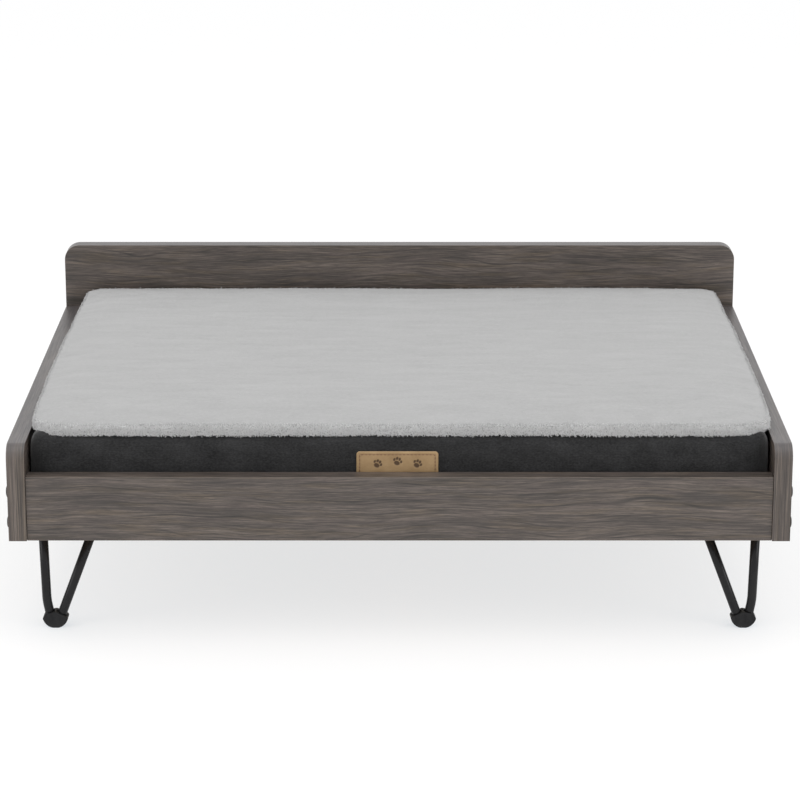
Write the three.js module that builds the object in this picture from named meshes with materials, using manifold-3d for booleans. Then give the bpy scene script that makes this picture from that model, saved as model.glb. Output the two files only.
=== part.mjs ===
// A raised dog bed: a low laminated frame on hairpin legs, with a lift-out mattress.
// Millimetres. +Z is up, +X is the bed's right-hand side seen from the front, and -Y is the front.
// The origin is the middle of the footprint, on the floor.
import * as THREE from 'three';
import { mergeVertices } from 'three/addons/utils/BufferGeometryUtils.js';
import Module from 'manifold-3d';

const wasm = await Module();
wasm.setup();

// Overall sizes
const WIDTH = 782; // over the two side panels
const DEPTH = 580; // front edge of a side panel to the back of the headboard
const GAP = 0.3; // running gap between pieces that touch
const FRONT = -DEPTH / 2; // Y of the side panels' front edges
const BACK = DEPTH / 2; // Y of the headboard's rear face
const HALF = WIDTH / 2;

// Boards
const BOARD = 18; // thickness of every laminated board
const BOARD_BOTTOM = 110; // height of their lower edges
const FRONT_BOARD_TOP = 176.5;
const FRONT_BOARD_INSET = 2; // behind the side panels' front edges
const SIDE_TOP = 209;
const SIDE_CORNER = 15; // radius of a side panel's upper front corner
const HEADBOARD_TOP = 282;
const HEADBOARD_CORNER = 17;
const INNER_HALF = HALF - BOARD; // X of the side panels' inner faces
const FRONT_BOARD_BACK = FRONT + FRONT_BOARD_INSET + BOARD;
const HEADBOARD_FRONT = BACK - BOARD;

// Base
const BASE_BOTTOM = 128;
const BASE_TOP = 140;
const CLEAT = 16; // square section of the battens under the base
const CLEAT_END_SPACE = 55; // side battens stop this far short of the front and rear boards
const RAIL_WIDTH = 45;

// Frame bolts and their barrel nuts
const BOLT_HEAD_RADIUS = 6.5;
const BOLT_HEAD_HEIGHT = 2.2; // the front bolts' domed heads stand this far out of the side panels
const BOLT_RADIUS = 3;
const BOLT_LENGTH = 56; // under the head
const BOLT_SOCKET_RADIUS = 2.2; // hexagon socket, over its corners
const BOLT_CLEARANCE = 0.4;
const BOLT_PITCH = 32; // the two bolts of a front corner, one above the other
const REAR_BOLT_PITCH = 56;
const REAR_BOLT_SINK = 2.5; // counterbores that keep the rear heads below the headboard's rear face
const NUT_DEPTH = 48; // seat of the bolt's head to the barrel nut's axis
const NUT_RADIUS = 5;
const NUT_LENGTH = 13;
const NUT_HOLE_DEPTH = 16;
const FRONT_BOLT_HEIGHT = (BOARD_BOTTOM + FRONT_BOARD_TOP) / 2;
const REAR_BOLT_HEIGHT = (BOARD_BOTTOM + SIDE_TOP) / 2;

// Hairpin legs
const LEG_X = 353; // middle of a foot
const LEG_INSET = 54; // front edge of the side panels to the plane of a front leg
const ROD_RADIUS = 4.75;
const BEND_RADIUS = 6.2; // centre line of the bend in the foot
const OUTER_LEAN = 1.3; // degrees from upright
const INNER_LEAN = 20.8;
const ANKLE_LEAN = 12; // the outer rod leaves the foot at this lean
const ANKLE_LENGTH = 12;
const SOLE = 2.6; // thickness of the foot cap under the rod
const PLATE_THICKNESS = 3;
const PLATE_LENGTH = 76;
const PLATE_WIDTH = 34;
const PLATE_CORNER = 4;
const PLATE_BOTTOM = BASE_BOTTOM - GAP - PLATE_THICKNESS;
const PLATE_OUTER_END = INNER_HALF - 1.5; // X of a plate's outer end
const CAP_RADIUS = 12.5; // half-moon foot cap, seen from the front
const CAP_HEIGHT = 18.5;
const CAP_THICKNESS = 13;
const CAP_FLAT = 5; // half-width of the flat under the cap
const REAR_LEG_INSET = LEG_INSET - FRONT_BOARD_INSET; // from the back of the headboard

// Leg screws
const SCREW_HEAD_RADIUS = 4;
const SCREW_HEAD_HEIGHT = 2;
const SCREW_RADIUS = 2;
const SCREW_LENGTH = 12;
const SCREW_INSET = 6; // from a plate's edges

// Mattress
const MATTRESS_HALF = 366;
const MATTRESS_FRONT = FRONT_BOARD_BACK + 4;
const MATTRESS_BACK = HEADBOARD_FRONT - 18;
const MATTRESS_CORNER = 18; // radius in plan
const MATTRESS_TOP = 232;
const BASE_CLOTH = 1.5;
const BAND_TOP = 211;
const BAND_CLOTH = 2;
const PLUSH_EDGE = 8; // radius of the rounded edge of the plush top
const LABEL_WIDTH = 82;
const LABEL_HEIGHT = 46;
const LABEL_THICKNESS = 1.4;
const LABEL_CORNER = 3;
const LABEL_TOP = 197;
const LABEL_OFFSET = -2; // the patch is sewn on a little left of the middle

// Zip at the back of the mattress cover
const ZIP_LENGTH = 640;
const ZIP_WIDTH = 24;
const ZIP_THICKNESS = 1;
const ZIP_HEIGHT = 178; // height of its middle
const SLIDER = { length: 11, thickness: 3.6, width: 9, corner: 2.5 };
const SLIDER_START = 12; // from the end of the tape to the parked slider
const PULL = { length: 11, thickness: 1.2, width: 6, corner: 2 };

// Materials
const material = (color, roughness, metalness = 0) =>
  new THREE.MeshStandardMaterial({ color, roughness, metalness });
const LAMINATE = material(0x665f5a, 0.55);
const PLYWOOD = material(0xb79b74, 0.7);
const PINE = material(0xc2a67c, 0.75);
const BLACK_STEEL = material(0x1d1d1f, 0.3, 0.6);
const BLACK_RUBBER = material(0x202022, 0.7);
const BRONZED_STEEL = material(0x3a332d, 0.35, 0.9);
const ZINC = material(0x9c9c98, 0.4, 0.9);
const FOAM = material(0xd8d2b8, 0.95);
const CHARCOAL_CLOTH = material(0x303031, 0.95);
const BLACK_CLOTH = material(0x1a1a1b, 0.95);
const GREY_PLUSH = material(0xbdbdbd, 1);
const TAN_LEATHER = material(0x9a7b50, 0.6);

const bed = new THREE.Group();

function place(name, geometry, finish, position = [0, 0, 0], rotation = [0, 0, 0]) {
  const mesh = new THREE.Mesh(geometry, finish);
  mesh.name = name;
  mesh.position.set(...position);
  mesh.rotation.set(...rotation);
  bed.add(mesh);
}

// A closed geometry as a solid for joining and cutting
function solid(geometry) {
  const bare = geometry.clone();
  bare.deleteAttribute('normal');
  bare.deleteAttribute('uv');
  const merged = mergeVertices(bare, 1e-4);
  return new wasm.Manifold(new wasm.Mesh({
    numProp: 3,
    vertProperties: new Float32Array(merged.attributes.position.array),
    triVerts: new Uint32Array(merged.index.array),
  }));
}

function cut(geometry, tools) {
  const body = tools.reduce((rest, tool) => rest.subtract(solid(tool)), solid(geometry));
  const mesh = body.getMesh();
  const result = new THREE.BufferGeometry();
  result.setAttribute('position', new THREE.BufferAttribute(mesh.vertProperties, 3));
  result.setIndex(new THREE.BufferAttribute(mesh.triVerts, 1));
  return result;
}

// A box from its lowest to its highest corner
function block(low, high) {
  const size = high.map((value, axis) => value - low[axis]);
  const middle = high.map((value, axis) => (value + low[axis]) / 2);
  return new THREE.BoxGeometry(...size).translate(...middle);
}

// A cylinder of the given length whose middle is at a point, along 'x', 'y' or 'z'
function rod(radius, length, axis, middle, sides = 14) {
  const geometry = new THREE.CylinderGeometry(radius, radius, length, sides);
  if (axis === 'x') geometry.rotateZ(Math.PI / 2);
  if (axis === 'z') geometry.rotateX(Math.PI / 2);
  return geometry.translate(...middle);
}

// A rectangle with its four corners rounded: corners = [low-low, high-low, high-high, low-high]
function roundedOutline(width, height, corners) {
  const [a, b, c, d] = corners;
  const shape = new THREE.Shape();
  shape.moveTo(a, 0);
  shape.lineTo(width - b, 0);
  if (b) shape.absarc(width - b, b, b, -Math.PI / 2, 0);
  shape.lineTo(width, height - c);
  if (c) shape.absarc(width - c, height - c, c, 0, Math.PI / 2);
  shape.lineTo(d, height);
  if (d) shape.absarc(d, height - d, d, Math.PI / 2, Math.PI);
  shape.lineTo(0, a);
  if (a) shape.absarc(a, a, a, Math.PI, 1.5 * Math.PI);
  return shape;
}

function extrude(shape, depth, curveSegments = 6) {
  return new THREE.ExtrudeGeometry(shape, { depth, curveSegments, bevelEnabled: false });
}

// Where each frame bolt goes: the seat of its head, the way it points and where its barrel nut lies
function frameBolts() {
  const bolts = [];
  for (const [side, sign] of [['left', -1], ['right', 1]]) {
    for (const [level, lift] of [['upper', 0.5], ['lower', -0.5]]) {
      bolts.push({
        name: `front_${side}_${level}`,
        head: [sign * HALF, FRONT_BOARD_BACK - BOARD / 2, FRONT_BOLT_HEIGHT + lift * BOLT_PITCH],
        inward: [-sign, 0, 0],
        drilled: [0, -1, 0], // the nut is dropped in from the board's inner face
        face: FRONT_BOARD_BACK,
      });
      bolts.push({
        name: `rear_${side}_${level}`,
        head: [
          sign * (HALF - BOARD / 2),
          BACK - REAR_BOLT_SINK,
          REAR_BOLT_HEIGHT + lift * REAR_BOLT_PITCH,
        ],
        inward: [0, -1, 0],
        drilled: [sign, 0, 0],
        face: sign * INNER_HALF,
      });
    }
  }
  return bolts;
}

const BOLTS = frameBolts();
const along = (point, direction, distance) =>
  point.map((value, axis) => value + direction[axis] * distance);
const axisOf = (direction) => ['x', 'y', 'z'][direction.findIndex((value) => value !== 0)];

function boltHole(bolt) {
  const length = BOLT_LENGTH + 4;
  const middle = along(bolt.head, bolt.inward, length / 2 - 2);
  return rod(BOLT_RADIUS + BOLT_CLEARANCE, length, axisOf(bolt.inward), middle);
}

// Round recess that takes a rear bolt's whole head
function counterbore(bolt) {
  const [x, , z] = bolt.head;
  return rod(BOLT_HEAD_RADIUS + BOLT_CLEARANCE, 2 * REAR_BOLT_SINK, 'y', [x, BACK, z], 20);
}

function nutHole(bolt) {
  const middle = along(bolt.head, bolt.inward, NUT_DEPTH);
  const drillAxis = bolt.drilled.findIndex((value) => value !== 0);
  middle[drillAxis] = bolt.face + bolt.drilled[drillAxis] * (NUT_HOLE_DEPTH / 2 - 0.5);
  return rod(NUT_RADIUS + GAP, NUT_HOLE_DEPTH + 1, axisOf(bolt.drilled), middle);
}

const boltsAt = (start) => BOLTS.filter((bolt) => bolt.name.startsWith(start));

function sidePanel(side, sign) {
  const length = HEADBOARD_FRONT - FRONT - GAP;
  const outline = roundedOutline(length, SIDE_TOP - BOARD_BOTTOM, [0, 0, 0, SIDE_CORNER]);
  const panel = extrude(outline, BOARD);
  panel.rotateX(Math.PI / 2).rotateZ(Math.PI / 2); // length along Y, height along Z
  panel.translate(sign > 0 ? INNER_HALF : -HALF, FRONT, BOARD_BOTTOM);
  const rear = boltsAt(`rear_${side}`);
  const holes = [
    ...boltsAt(`front_${side}`).map(boltHole),
    ...rear.map(boltHole),
    ...rear.map(nutHole),
  ];
  place(`side_panel_${side}`, cut(panel, holes), LAMINATE);
}

function frontBoard() {
  const low = [-INNER_HALF + GAP, FRONT + FRONT_BOARD_INSET, BOARD_BOTTOM];
  const high = [INNER_HALF - GAP, FRONT_BOARD_BACK, FRONT_BOARD_TOP];
  const bolts = boltsAt('front');
  place('front_board', cut(block(low, high), [...bolts.map(boltHole), ...bolts.map(nutHole)]), LAMINATE);
}

function headboard() {
  const radii = [0, 0, HEADBOARD_CORNER, HEADBOARD_CORNER];
  const board = extrude(roundedOutline(WIDTH, HEADBOARD_TOP - BOARD_BOTTOM, radii), BOARD);
  board.rotateX(Math.PI / 2).translate(-HALF, BACK, BOARD_BOTTOM);
  const rear = boltsAt('rear');
  place('headboard', cut(board, [...rear.map(boltHole), ...rear.map(counterbore)]), LAMINATE);
}

// Domed bolt with a hexagon socket. Its profile runs from the socket's floor round the head to the tip.
function boltShape() {
  const socketDepth = 1.4;
  const socketRadius = BOLT_SOCKET_RADIUS;
  const profile = [new THREE.Vector2(0, BOLT_HEAD_HEIGHT - socketDepth)];
  profile.push(new THREE.Vector2(socketRadius, BOLT_HEAD_HEIGHT - socketDepth));
  const steps = 4;
  const rise = BOLT_HEAD_HEIGHT - GAP;
  for (let step = 0; step <= steps; step += 1) {
    const turn = (step / steps) * (Math.PI / 2);
    const radius = socketRadius + (BOLT_HEAD_RADIUS - socketRadius) * Math.sin(turn);
    profile.push(new THREE.Vector2(radius, GAP + rise * Math.cos(turn)));
  }
  profile.push(new THREE.Vector2(BOLT_RADIUS, GAP));
  profile.push(new THREE.Vector2(BOLT_RADIUS, -BOLT_LENGTH + 1));
  profile.push(new THREE.Vector2(BOLT_RADIUS - 1, -BOLT_LENGTH));
  profile.push(new THREE.Vector2(0, -BOLT_LENGTH));
  return new THREE.LatheGeometry(profile.reverse(), 14);
}

// Turns that point +Y, the bolt's outward direction, out of the board
function outwardTurn(inward) {
  if (inward[0] === 1) return [0, 0, Math.PI / 2];
  if (inward[0] === -1) return [0, 0, -Math.PI / 2];
  return [0, 0, 0];
}

function boltsAndNuts() {
  for (const bolt of BOLTS) {
    place(`bolt_${bolt.name}`, boltShape(), BRONZED_STEEL, bolt.head, outwardTurn(bolt.inward));
    const middle = along(bolt.head, bolt.inward, NUT_DEPTH);
    const barrel = rod(NUT_RADIUS, NUT_LENGTH, axisOf(bolt.drilled), middle);
    const thread = rod(BOLT_RADIUS + BOLT_CLEARANCE, 3 * NUT_RADIUS, axisOf(bolt.inward), middle);
    place(`barrel_nut_${bolt.name}`, cut(barrel, [thread]), ZINC);
  }
}

// The four legs' places, with the ways that point outwards along X and Y
const LEGS = [
  { name: 'front_left', x: -1, y: FRONT + LEG_INSET },
  { name: 'front_right', x: 1, y: FRONT + LEG_INSET },
  { name: 'rear_left', x: -1, y: BACK - REAR_LEG_INSET },
  { name: 'rear_right', x: 1, y: BACK - REAR_LEG_INSET },
];

function screwPlaces(leg) {
  const outer = PLATE_OUTER_END - SCREW_INSET;
  const inner = PLATE_OUTER_END - PLATE_LENGTH + SCREW_INSET;
  const side = PLATE_WIDTH / 2 - SCREW_INSET;
  return [
    { name: 'outer', x: leg.x * (outer - 14), y: leg.y + side },
    { name: 'middle', x: leg.x * (outer + inner) / 2, y: leg.y - side },
    { name: 'inner', x: leg.x * (inner + 8), y: leg.y + side },
  ];
}

function basePanel() {
  const low = [-INNER_HALF + GAP, FRONT_BOARD_BACK + GAP, BASE_BOTTOM];
  const high = [INNER_HALF - GAP, HEADBOARD_FRONT - GAP, BASE_TOP];
  const holes = LEGS.flatMap(screwPlaces).map(({ x, y }) =>
    rod(SCREW_RADIUS + GAP, 20, 'z', [x, y, BASE_BOTTOM], 12));
  place('base_panel', cut(block(low, high), holes), PLYWOOD);
}

function battens() {
  const low = BASE_BOTTOM - GAP - CLEAT;
  const high = BASE_BOTTOM - GAP;
  const across = INNER_HALF - GAP;
  const frontEdge = FRONT_BOARD_BACK + GAP;
  const rearEdge = HEADBOARD_FRONT - GAP;
  place('batten_front', block([-across, frontEdge, low], [across, frontEdge + CLEAT, high]), PINE);
  place('batten_rear', block([-across, rearEdge - CLEAT, low], [across, rearEdge, high]), PINE);
  const start = FRONT_BOARD_BACK + CLEAT_END_SPACE;
  const end = HEADBOARD_FRONT - CLEAT_END_SPACE;
  place('batten_left', block([-across, start, low], [-across + CLEAT, end, high]), PINE);
  place('batten_right', block([across - CLEAT, start, low], [across, end, high]), PINE);
  const railStart = frontEdge + CLEAT + GAP;
  const railEnd = rearEdge - CLEAT - GAP;
  const rail = block([-RAIL_WIDTH / 2, railStart, low], [RAIL_WIDTH / 2, railEnd, high]);
  place('centre_rail', rail, PINE);
}

// A curve through the given points, whose sections are at the points themselves. Its ends are cut level.
class PolylineCurve extends THREE.Curve {
  constructor(points) {
    super();
    this.points = points;
  }

  getPointAt(u) {
    return this.points[Math.round(u * (this.points.length - 1))].clone();
  }

  getTangentAt(u) {
    const last = this.points.length - 1;
    const index = Math.round(u * last);
    if (index === 0) return new THREE.Vector3(0, 0, -1);
    if (index === last) return new THREE.Vector3(0, 0, 1);
    const before = this.points[index].clone().sub(this.points[index - 1]).normalize();
    const after = this.points[index + 1].clone().sub(this.points[index]).normalize();
    return before.add(after).normalize();
  }
}

// The bent rod's centre line in its own plane: X from the foot towards the bed's middle, Z up
function hairpinCurve(top) {
  const [outer, inner, ankle] = [OUTER_LEAN, INNER_LEAN, ANKLE_LEAN].map(THREE.MathUtils.degToRad);
  const middle = SOLE + GAP + ROD_RADIUS + BEND_RADIUS;
  const onBend = (turn) =>
    new THREE.Vector3(BEND_RADIUS * Math.cos(turn), 0, middle + BEND_RADIUS * Math.sin(turn));
  const rise = (point, lean, height) =>
    new THREE.Vector3(point.x + height * Math.tan(lean), 0, point.z + height);
  const outerFoot = onBend(Math.PI - ankle);
  const knee = rise(outerFoot, -ankle, ANKLE_LENGTH);
  const innerFoot = onBend(-inner);
  const softened = 3; // the knee is a short chord from this far above it to this far below
  const points = [
    rise(knee, -outer, top - knee.z),
    rise(knee, -outer, softened),
    rise(knee, -ankle, -softened),
  ];
  const steps = 9;
  for (let step = 0; step <= steps; step += 1) {
    const turn = Math.PI - ankle + (step / steps) * (Math.PI - inner + ankle);
    points.push(onBend(turn));
  }
  points.push(rise(innerFoot, inner, top - innerFoot.z));
  return new PolylineCurve(points);
}

function hairpinRod(radius, top, sides) {
  const section = new THREE.Shape();
  section.absarc(0, 0, radius, 0, 2 * Math.PI);
  const extrudePath = hairpinCurve(top);
  const steps = extrudePath.points.length - 1;
  return new THREE.ExtrudeGeometry(section, { steps, extrudePath, curveSegments: sides });
}

// The half-moon cap: flat sole, round flanks, upright sides, cut to fit round the bent rod
function footCap() {
  const middle = Math.sqrt(CAP_RADIUS ** 2 - CAP_FLAT ** 2);
  const slant = Math.acos(CAP_FLAT / CAP_RADIUS);
  const outline = new THREE.Shape();
  outline.moveTo(-CAP_FLAT, 0);
  outline.lineTo(CAP_FLAT, 0);
  outline.absarc(0, middle, CAP_RADIUS, -slant, 0);
  outline.lineTo(CAP_RADIUS, CAP_HEIGHT);
  outline.lineTo(-CAP_RADIUS, CAP_HEIGHT);
  outline.lineTo(-CAP_RADIUS, middle);
  outline.absarc(0, middle, CAP_RADIUS, Math.PI, Math.PI + slant);
  const cap = extrude(outline, CAP_THICKNESS, 5);
  cap.rotateX(Math.PI / 2).translate(0, CAP_THICKNESS / 2, 0);
  return cut(cap, [hairpinRod(ROD_RADIUS + GAP, CAP_HEIGHT + 6, 6)]);
}

function plate(leg) {
  const radii = Array(4).fill(PLATE_CORNER);
  const shape = extrude(roundedOutline(PLATE_LENGTH, PLATE_WIDTH, radii), PLATE_THICKNESS, 3);
  const left = leg.x > 0 ? PLATE_OUTER_END - PLATE_LENGTH : -PLATE_OUTER_END;
  shape.translate(left, leg.y - PLATE_WIDTH / 2, PLATE_BOTTOM);
  const holes = screwPlaces(leg).map(({ x, y }) =>
    rod(SCREW_RADIUS + GAP, 3 * PLATE_THICKNESS, 'z', [x, y, PLATE_BOTTOM], 12));
  return cut(shape, holes);
}

// Pan-head screw, head down. Its profile runs from the middle of the head to the tip.
function screwShape() {
  const profile = [
    [0, -SCREW_HEAD_HEIGHT],
    [SCREW_HEAD_RADIUS * 0.7, -SCREW_HEAD_HEIGHT],
    [SCREW_HEAD_RADIUS, -SCREW_HEAD_HEIGHT / 2],
    [SCREW_HEAD_RADIUS, -GAP],
    [SCREW_RADIUS, -GAP],
    [SCREW_RADIUS, SCREW_LENGTH - 3],
    [0, SCREW_LENGTH],
  ].map(([radius, height]) => new THREE.Vector2(radius, height));
  return new THREE.LatheGeometry(profile, 12).rotateX(Math.PI / 2);
}

function legs() {
  for (const leg of LEGS) {
    const facing = leg.x > 0 ? Math.PI : 0; // the rod leans towards the bed's middle
    const foot = [leg.x * LEG_X, leg.y, 0];
    const hairpin = hairpinRod(ROD_RADIUS, PLATE_BOTTOM - GAP, 6);
    place(`leg_plate_${leg.name}`, plate(leg), BLACK_STEEL);
    place(`leg_rod_${leg.name}`, hairpin, BLACK_STEEL, foot, [0, 0, facing]);
    place(`foot_cap_${leg.name}`, footCap(), BLACK_RUBBER, foot, [0, 0, facing]);
    for (const { name, x, y } of screwPlaces(leg)) {
      place(`leg_screw_${leg.name}_${name}`, screwShape(), ZINC, [x, y, PLATE_BOTTOM]);
    }
  }
}

// The mattress's outline in plan, drawn in by an inset
function mattressOutline(inset) {
  const width = 2 * (MATTRESS_HALF - inset);
  const depth = MATTRESS_BACK - MATTRESS_FRONT - 2 * inset;
  return roundedOutline(width, depth, Array(4).fill(MATTRESS_CORNER - inset));
}

function mattressLayer(inset, bottom, top) {
  const layer = extrude(mattressOutline(inset), top - bottom);
  return layer.translate(-MATTRESS_HALF + inset, MATTRESS_FRONT + inset, bottom);
}

function mattress() {
  const clothBottom = BASE_TOP + GAP;
  const bandBottom = clothBottom + BASE_CLOTH + GAP;
  place('mattress_base_cloth', mattressLayer(0, clothBottom, clothBottom + BASE_CLOTH), BLACK_CLOTH);
  const band = mattressLayer(0, bandBottom, BAND_TOP);
  const inside = mattressLayer(BAND_CLOTH, bandBottom - 1, BAND_TOP + 1);
  place('mattress_side_band', cut(band, [inside]), CHARCOAL_CLOTH);
  place('foam_core', mattressLayer(BAND_CLOTH + GAP, bandBottom, BAND_TOP), FOAM);
  const plush = new THREE.ExtrudeGeometry(mattressOutline(PLUSH_EDGE), {
    depth: MATTRESS_TOP - BAND_TOP - GAP - 2 * PLUSH_EDGE,
    bevelSize: PLUSH_EDGE,
    bevelThickness: PLUSH_EDGE,
    bevelSegments: 3,
    curveSegments: 5,
  });
  plush.translate(-MATTRESS_HALF + PLUSH_EDGE, MATTRESS_FRONT + PLUSH_EDGE, BAND_TOP + GAP + PLUSH_EDGE);
  place('plush_top', plush, GREY_PLUSH);
}

function label() {
  const outline = roundedOutline(LABEL_WIDTH, LABEL_HEIGHT, Array(4).fill(LABEL_CORNER));
  const patch = extrude(outline, LABEL_THICKNESS);
  patch.rotateX(Math.PI / 2);
  patch.translate(LABEL_OFFSET - LABEL_WIDTH / 2, MATTRESS_FRONT - GAP, LABEL_TOP - LABEL_HEIGHT);
  place('leather_patch', patch, TAN_LEATHER);
}

// The zip runs along the back of the cover, closed, with its slider at the bed's left end
function zip() {
  const face = MATTRESS_BACK + GAP;
  const end = ZIP_LENGTH / 2;
  const tape = block(
    [-end, face, ZIP_HEIGHT - ZIP_WIDTH / 2],
    [end, face + ZIP_THICKNESS, ZIP_HEIGHT + ZIP_WIDTH / 2],
  );
  place('zip_tape', tape, BLACK_CLOTH);
  const sliderFace = face + ZIP_THICKNESS + GAP;
  const sliderStart = -end + SLIDER_START;
  const sliderOutline = roundedOutline(SLIDER.length, SLIDER.width, Array(4).fill(SLIDER.corner));
  const slider = extrude(sliderOutline, SLIDER.thickness, 4);
  slider.rotateX(Math.PI / 2);
  slider.translate(sliderStart, sliderFace + SLIDER.thickness, ZIP_HEIGHT - SLIDER.width / 2);
  place('zip_slider', slider, ZINC);
  const corner = PULL.corner;
  const tab = extrude(roundedOutline(PULL.length, PULL.width, [corner, 0, 0, corner]), PULL.thickness, 4);
  tab.rotateX(Math.PI / 2);
  const hingeX = sliderStart + SLIDER.length / 2;
  const tabBack = sliderFace + SLIDER.thickness + GAP;
  tab.translate(hingeX - PULL.length, tabBack + PULL.thickness, ZIP_HEIGHT - PULL.width / 2);
  place('zip_pull', tab, ZINC);
}

for (const [side, sign] of [['left', -1], ['right', 1]]) sidePanel(side, sign);
frontBoard();
headboard();
basePanel();
battens();
boltsAndNuts();
legs();
mattress();
label();
zip();

export default bed;
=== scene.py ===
"""Looks of a raised dog bed: wood-grain boards, black hairpin legs and a lift-out mattress.

Metres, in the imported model's frame: +Z is up, +X the bed's right-hand side, -Y its front.
"""
import math

import bmesh
import bpy
import numpy as np
from mathutils import Matrix, Vector, noise


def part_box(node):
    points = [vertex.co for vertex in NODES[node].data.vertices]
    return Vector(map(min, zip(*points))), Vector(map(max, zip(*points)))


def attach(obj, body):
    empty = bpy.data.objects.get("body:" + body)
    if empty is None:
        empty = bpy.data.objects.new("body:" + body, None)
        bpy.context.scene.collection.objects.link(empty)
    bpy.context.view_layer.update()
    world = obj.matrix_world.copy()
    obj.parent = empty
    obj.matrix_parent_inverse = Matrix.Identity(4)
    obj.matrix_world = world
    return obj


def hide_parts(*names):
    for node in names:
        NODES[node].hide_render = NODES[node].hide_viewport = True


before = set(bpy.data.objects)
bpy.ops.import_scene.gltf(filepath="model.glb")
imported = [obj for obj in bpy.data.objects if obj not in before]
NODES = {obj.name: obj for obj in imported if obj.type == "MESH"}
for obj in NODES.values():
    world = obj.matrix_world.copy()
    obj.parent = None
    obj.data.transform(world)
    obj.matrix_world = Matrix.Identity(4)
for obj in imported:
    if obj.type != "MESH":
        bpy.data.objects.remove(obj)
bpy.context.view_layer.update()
MM = 0.001

# Camera
CAMERA_LENS = 133.5
CAMERA_DISTANCE = 2.813  # in front of the side panels' front edges
CAMERA_HEIGHT = 1.074
CAMERA_SIDE = 0.0006
CAMERA_PITCH = 16.19  # degrees below level

# Hairpin legs, as in the part
ROD_RADIUS = 4.75 * MM
BEND_RADIUS = 6.2 * MM
OUTER_LEAN = math.radians(1.3)
INNER_LEAN = math.radians(20.8)
ANKLE_LEAN = math.radians(12)
ANKLE_LENGTH = 12 * MM
BEND_HEIGHT = (2.6 + 0.3) * MM + ROD_RADIUS + BEND_RADIUS  # middle of the bend
KNEE_LENGTH = 7 * MM  # the knee's curve, along the rod
CAP_RADIUS = 13.3 * MM
CAP_THICKNESS = 14 * MM
CAP_FLAT = 3.2 * MM
CAP_SHOULDER = 10 * MM
CAP_RIDGE = 17 * MM
CAP_PLAY = 0.8 * MM  # round the rod

# Boards
RING_GAP = 11 * MM  # between the printed growth rings

# Mattress
CLOTH_FRAMES = 20
CLOTH_PRESSURE = 4
COVER_CORNERS = (9 * MM, 9 * MM)  # front, rear
SEAM_FADE = 12 * MM  # from what is sewn on to where the cover is free to swell
EAR_HEIGHT = 4.5 * MM  # of the cover's corners above its seam
EAR_LENGTH = 45 * MM
PLUSH_CORNERS = (34 * MM, 20 * MM)  # front, rear
PLUSH_SHIFT = 2.2 * MM  # to the right, as it was laid
PLUSH_BULGE = 6 * MM  # of the pad's two ends, most in front of their middle
BULGE_AHEAD = 80 * MM
PLUSH_SAG = 9.5 * MM  # of the pad's top along its front edge
PLUSH_LIFT = 2.6 * MM  # of its top against the headboard
SAG_LENGTH = 95 * MM
LOCKS = 18000  # of pile, in each piece of the fringe
FRINGE_FADE = 40 * MM  # from the pad's outline to where its locks have thinned out

CORNERS = [("front_left", -1), ("front_right", 1), ("rear_left", -1), ("rear_right", 1)]


# ---- materials


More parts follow.
